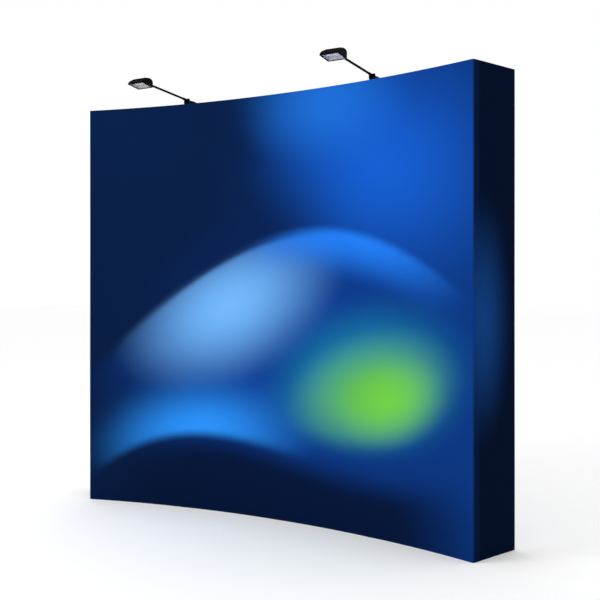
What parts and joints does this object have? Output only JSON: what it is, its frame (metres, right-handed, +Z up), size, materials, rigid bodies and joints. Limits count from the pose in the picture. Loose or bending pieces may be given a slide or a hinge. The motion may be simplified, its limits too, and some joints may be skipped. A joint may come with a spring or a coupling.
{
  "type": "pop up display backwall",
  "caption": "Curved free-standing display wall: printed stretch fabric on a folding scissor frame of posts and struts, with end flaps and arm floodlights above the top edge.",
  "frame": {"origin": "on the floor, under the middle of the whole object, lamps included", "axes": "+Z up; +X to the right seen from the front; -Y is the front that faces the visitors; the wall is mirror symmetric about the YZ plane"},
  "size_m": [2.554, 0.7698, 2.355],
  "materials": {
    "graphic_fabric": "matt printed stretch fabric, smooth blends of deep blue, azure and green",
    "aluminium_tube": "satin anodised",
    "hub_plastic": "fine moulded grain",
    "lock_plastic": "moulded nylon",
    "lamp_black": "satin black powder coat",
    "lamp_glass": "clear glass over a bright faceted reflector"
  },
  "bodies": {
    "front_column_1": {"front_post_1": "aluminium_tube", "front_hook_bar_1": "hub_plastic", "end_flap_left": "graphic_fabric"},
    "rear_column_1": {"rear_post_1": "aluminium_tube", "rear_lock_bracket_1": "hub_plastic"},
    "depth_lock_arm_1": {"depth_lock_1": "lock_plastic"},
    "front_column_2": {"front_post_2": "aluminium_tube", "front_hook_bar_2": "hub_plastic", "lamp_clamp_left": "lamp_black"},
    "rear_column_2": {"rear_post_2": "aluminium_tube", "rear_lock_bracket_2": "hub_plastic"},
    "depth_lock_arm_2": {"depth_lock_2": "lock_plastic"},
    "front_column_3": {"front_post_3": "aluminium_tube", "front_hook_bar_3": "hub_plastic", "face_fabric": "graphic_fabric"},
    "rear_column_3": {"rear_post_3": "aluminium_tube", "rear_lock_bracket_3": "hub_plastic"},
    "depth_lock_arm_3": {"depth_lock_3": "lock_plastic"},
    "front_column_4": {"front_post_4": "aluminium_tube", "front_hook_bar_4": "hub_plastic", "lamp_clamp_right": "lamp_black"},
    "rear_column_4": {"rear_post_4": "aluminium_tube", "rear_lock_bracket_4": "hub_plastic"},
    "depth_lock_arm_4": {"depth_lock_4": "lock_plastic"},
    "front_column_5": {"front_post_5": "aluminium_tube", "front_hook_bar_5": "hub_plastic", "end_flap_right": "graphic_fabric"},
    "rear_column_5": {"rear_post_5": "aluminium_tube", "rear_lock_bracket_5": "hub_plastic"},
    "depth_lock_arm_5": {"depth_lock_5": "lock_plastic"},
    "bay_1_struts_a": {"bay_1_lower_strut_a": "aluminium_tube", "bay_1_middle_strut_a": "aluminium_tube", "bay_1_upper_strut_a": "aluminium_tube"},
    "bay_1_struts_b": {"bay_1_lower_strut_b": "aluminium_tube", "bay_1_middle_strut_b": "aluminium_tube", "bay_1_upper_strut_b": "aluminium_tube"},
    "bay_2_struts_a": {"bay_2_lower_strut_a": "aluminium_tube", "bay_2_middle_strut_a": "aluminium_tube", "bay_2_upper_strut_a": "aluminium_tube"},
    "bay_2_struts_b": {"bay_2_lower_strut_b": "aluminium_tube", "bay_2_middle_strut_b": "aluminium_tube", "bay_2_upper_strut_b": "aluminium_tube"},
    "bay_3_struts_a": {"bay_3_lower_strut_a": "aluminium_tube", "bay_3_middle_strut_a": "aluminium_tube", "bay_3_upper_strut_a": "aluminium_tube"},
    "bay_3_struts_b": {"bay_3_lower_strut_b": "aluminium_tube", "bay_3_middle_strut_b": "aluminium_tube", "bay_3_upper_strut_b": "aluminium_tube"},
    "bay_4_struts_a": {"bay_4_lower_strut_a": "aluminium_tube", "bay_4_middle_strut_a": "aluminium_tube", "bay_4_upper_strut_a": "aluminium_tube"},
    "bay_4_struts_b": {"bay_4_lower_strut_b": "aluminium_tube", "bay_4_middle_strut_b": "aluminium_tube", "bay_4_upper_strut_b": "aluminium_tube"},
    "lamp_left_arm": {"lamp_arm_left": "lamp_black"},
    "lamp_left_head": {"lamp_shell_left": "lamp_black", "lamp_glass_left": "lamp_glass"},
    "lamp_right_arm": {"lamp_arm_right": "lamp_black"},
    "lamp_right_head": {"lamp_shell_right": "lamp_black", "lamp_glass_right": "lamp_glass"}
  },
  "joints": [
    {"name": "frame_fold", "type": "hinge", "parent": "front_column_3", "child": "bay_3_struts_a", "pos_m": [0, 0.09286, 1.14], "axis": [0, 0, 1], "range_deg": [0, 49], "deforming": ["face_fabric"]},
    {"name": "bay_3_pin", "type": "hinge", "parent": "bay_3_struts_a", "child": "bay_3_struts_b", "pos_m": [0.30607, 0.22686, 1.14], "axis": [0, 0, 1], "range_deg": [-99, 1]},
    {"name": "bay_3_b_front", "type": "hinge", "parent": "bay_3_struts_b", "child": "front_column_4", "pos_m": [0.58976, 0.05033, 1.14], "axis": [0, 0, 1], "range_deg": [-1, 50]},
    {"name": "bay_3_a_rear", "type": "hinge", "parent": "bay_3_struts_a", "child": "rear_column_4", "pos_m": [0.62821, 0.31555, 1.14], "axis": [0, 0, 1], "range_deg": [-50, 1]},
    {"name": "bay_4_a_front", "type": "hinge", "parent": "front_column_4", "child": "bay_4_struts_a", "pos_m": [0.58976, 0.05033, 1.14], "axis": [0, 0, 1], "range_deg": [-1, 50]},
    {"name": "bay_4_pin", "type": "hinge", "parent": "bay_4_struts_a", "child": "bay_4_struts_b", "pos_m": [0.91189, 0.13902, 1.14], "axis": [0, 0, 1], "range_deg": [-99, 1]},
    {"name": "bay_4_b_front", "type": "hinge", "parent": "bay_4_struts_b", "child": "front_column_5", "pos_m": [1.1673, -0.07639, 1.14], "axis": [0, 0, 1], "range_deg": [-1, 50]},
    {"name": "bay_4_a_rear", "type": "hinge", "parent": "bay_4_struts_a", "child": "rear_column_5", "pos_m": [1.24342, 0.18057, 1.14], "axis": [0, 0, 1], "range_deg": [-50, 1]},
    {"name": "bay_2_b_front", "type": "hinge", "parent": "front_column_3", "child": "bay_2_struts_b", "pos_m": [0, 0.09286, 1.14], "axis": [0, 0, 1], "range_deg": [-50, 1]},
    {"name": "bay_2_pin", "type": "hinge", "parent": "bay_2_struts_b", "child": "bay_2_struts_a", "pos_m": [-0.30607, 0.22686, 1.14], "axis": [0, 0, 1], "range_deg": [-1, 99]},
    {"name": "bay_2_a_front", "type": "hinge", "parent": "bay_2_struts_a", "child": "front_column_2", "pos_m": [-0.58976, 0.05033, 1.14], "axis": [0, 0, 1], "range_deg": [-50, 1]},
    {"name": "bay_2_a_rear", "type": "hinge", "parent": "bay_2_struts_a", "child": "rear_column_3", "pos_m": [0, 0.36086, 1.14], "axis": [0, 0, 1], "range_deg": [-50, 1]},
    {"name": "bay_2_b_rear", "type": "hinge", "parent": "bay_2_struts_b", "child": "rear_column_2", "pos_m": [-0.62821, 0.31555, 1.14], "axis": [0, 0, 1], "range_deg": [-1, 50]},
    {"name": "bay_1_b_front", "type": "hinge", "parent": "front_column_2", "child": "bay_1_struts_b", "pos_m": [-0.58976, 0.05033, 1.14], "axis": [0, 0, 1], "range_deg": [-50, 1]},
    {"name": "bay_1_pin", "type": "hinge", "parent": "bay_1_struts_b", "child": "bay_1_struts_a", "pos_m": [-0.91189, 0.13902, 1.14], "axis": [0, 0, 1], "range_deg": [-1, 99]},
    {"name": "bay_1_a_front", "type": "hinge", "parent": "bay_1_struts_a", "child": "front_column_1", "pos_m": [-1.1673, -0.07639, 1.14], "axis": [0, 0, 1], "range_deg": [-50, 1]},
    {"name": "bay_1_b_rear", "type": "hinge", "parent": "bay_1_struts_b", "child": "rear_column_1", "pos_m": [-1.24342, 0.18057, 1.14], "axis": [0, 0, 1], "range_deg": [-1, 50]},
    {"name": "depth_lock_lift_1", "type": "hinge", "parent": "rear_column_1", "child": "depth_lock_arm_1", "pos_m": [-1.23575, 0.15468, 1.178], "axis": [-0.9588, -0.284, 0], "range_deg": [0, 80]},
    {"name": "depth_lock_lift_2", "type": "hinge", "parent": "rear_column_2", "child": "depth_lock_arm_2", "pos_m": [-0.62434, 0.28883, 1.178], "axis": [-0.9897, -0.1435, 0], "range_deg": [0, 80]},
    {"name": "depth_lock_lift_3", "type": "hinge", "parent": "rear_column_3", "child": "depth_lock_arm_3", "pos_m": [0, 0.33386, 1.178], "axis": [-1, 0, 0], "range_deg": [0, 80]},
    {"name": "depth_lock_lift_4", "type": "hinge", "parent": "rear_column_4", "child": "depth_lock_arm_4", "pos_m": [0.62434, 0.28883, 1.178], "axis": [-0.9897, 0.1435, 0], "range_deg": [0, 80]},
    {"name": "depth_lock_lift_5", "type": "hinge", "parent": "rear_column_5", "child": "depth_lock_arm_5", "pos_m": [1.23575, 0.15468, 1.178], "axis": [-0.9588, 0.284, 0], "range_deg": [0, 80]},
    {"name": "lamp_left_arm_tilt", "type": "hinge", "parent": "front_column_2", "child": "lamp_left_arm", "pos_m": [-0.58976, 0.05033, 2.3075], "axis": [-1, 0, 0], "range_deg": [0, 60]},
    {"name": "lamp_left_head_tilt", "type": "hinge", "parent": "lamp_left_arm", "child": "lamp_left_head", "pos_m": [-0.58976, -0.28667, 2.3382], "axis": [1, 0, 0], "range_deg": [-40, 40]},
    {"name": "lamp_right_arm_tilt", "type": "hinge", "parent": "front_column_4", "child": "lamp_right_arm", "pos_m": [0.58976, 0.05033, 2.3075], "axis": [-1, 0, 0], "range_deg": [0, 60]},
    {"name": "lamp_right_head_tilt", "type": "hinge", "parent": "lamp_right_arm", "child": "lamp_right_head", "pos_m": [0.58976, -0.28667, 2.3382], "axis": [1, 0, 0], "range_deg": [-40, 40]}
  ],
  "couplings": [
    {"joint": "bay_3_pin", "follows": "frame_fold", "ratio": -2},
    {"joint": "bay_3_b_front", "follows": "frame_fold", "ratio": 1},
    {"joint": "bay_3_a_rear", "follows": "frame_fold", "ratio": -1},
    {"joint": "bay_4_a_front", "follows": "frame_fold", "ratio": 1},
    {"joint": "bay_4_pin", "follows": "frame_fold", "ratio": -2},
    {"joint": "bay_4_b_front", "follows": "frame_fold", "ratio": 1},
    {"joint": "bay_4_a_rear", "follows": "frame_fold", "ratio": -1},
    {"joint": "bay_2_b_front", "follows": "frame_fold", "ratio": -1},
    {"joint": "bay_2_pin", "follows": "frame_fold", "ratio": 2},
    {"joint": "bay_2_a_front", "follows": "frame_fold", "ratio": -1},
    {"joint": "bay_2_a_rear", "follows": "frame_fold", "ratio": -1},
    {"joint": "bay_2_b_rear", "follows": "frame_fold", "ratio": 1},
    {"joint": "bay_1_b_front", "follows": "frame_fold", "ratio": -1},
    {"joint": "bay_1_pin", "follows": "frame_fold", "ratio": 2},
    {"joint": "bay_1_a_front", "follows": "frame_fold", "ratio": -1},
    {"joint": "bay_1_b_rear", "follows": "frame_fold", "ratio": 1}
  ]
}
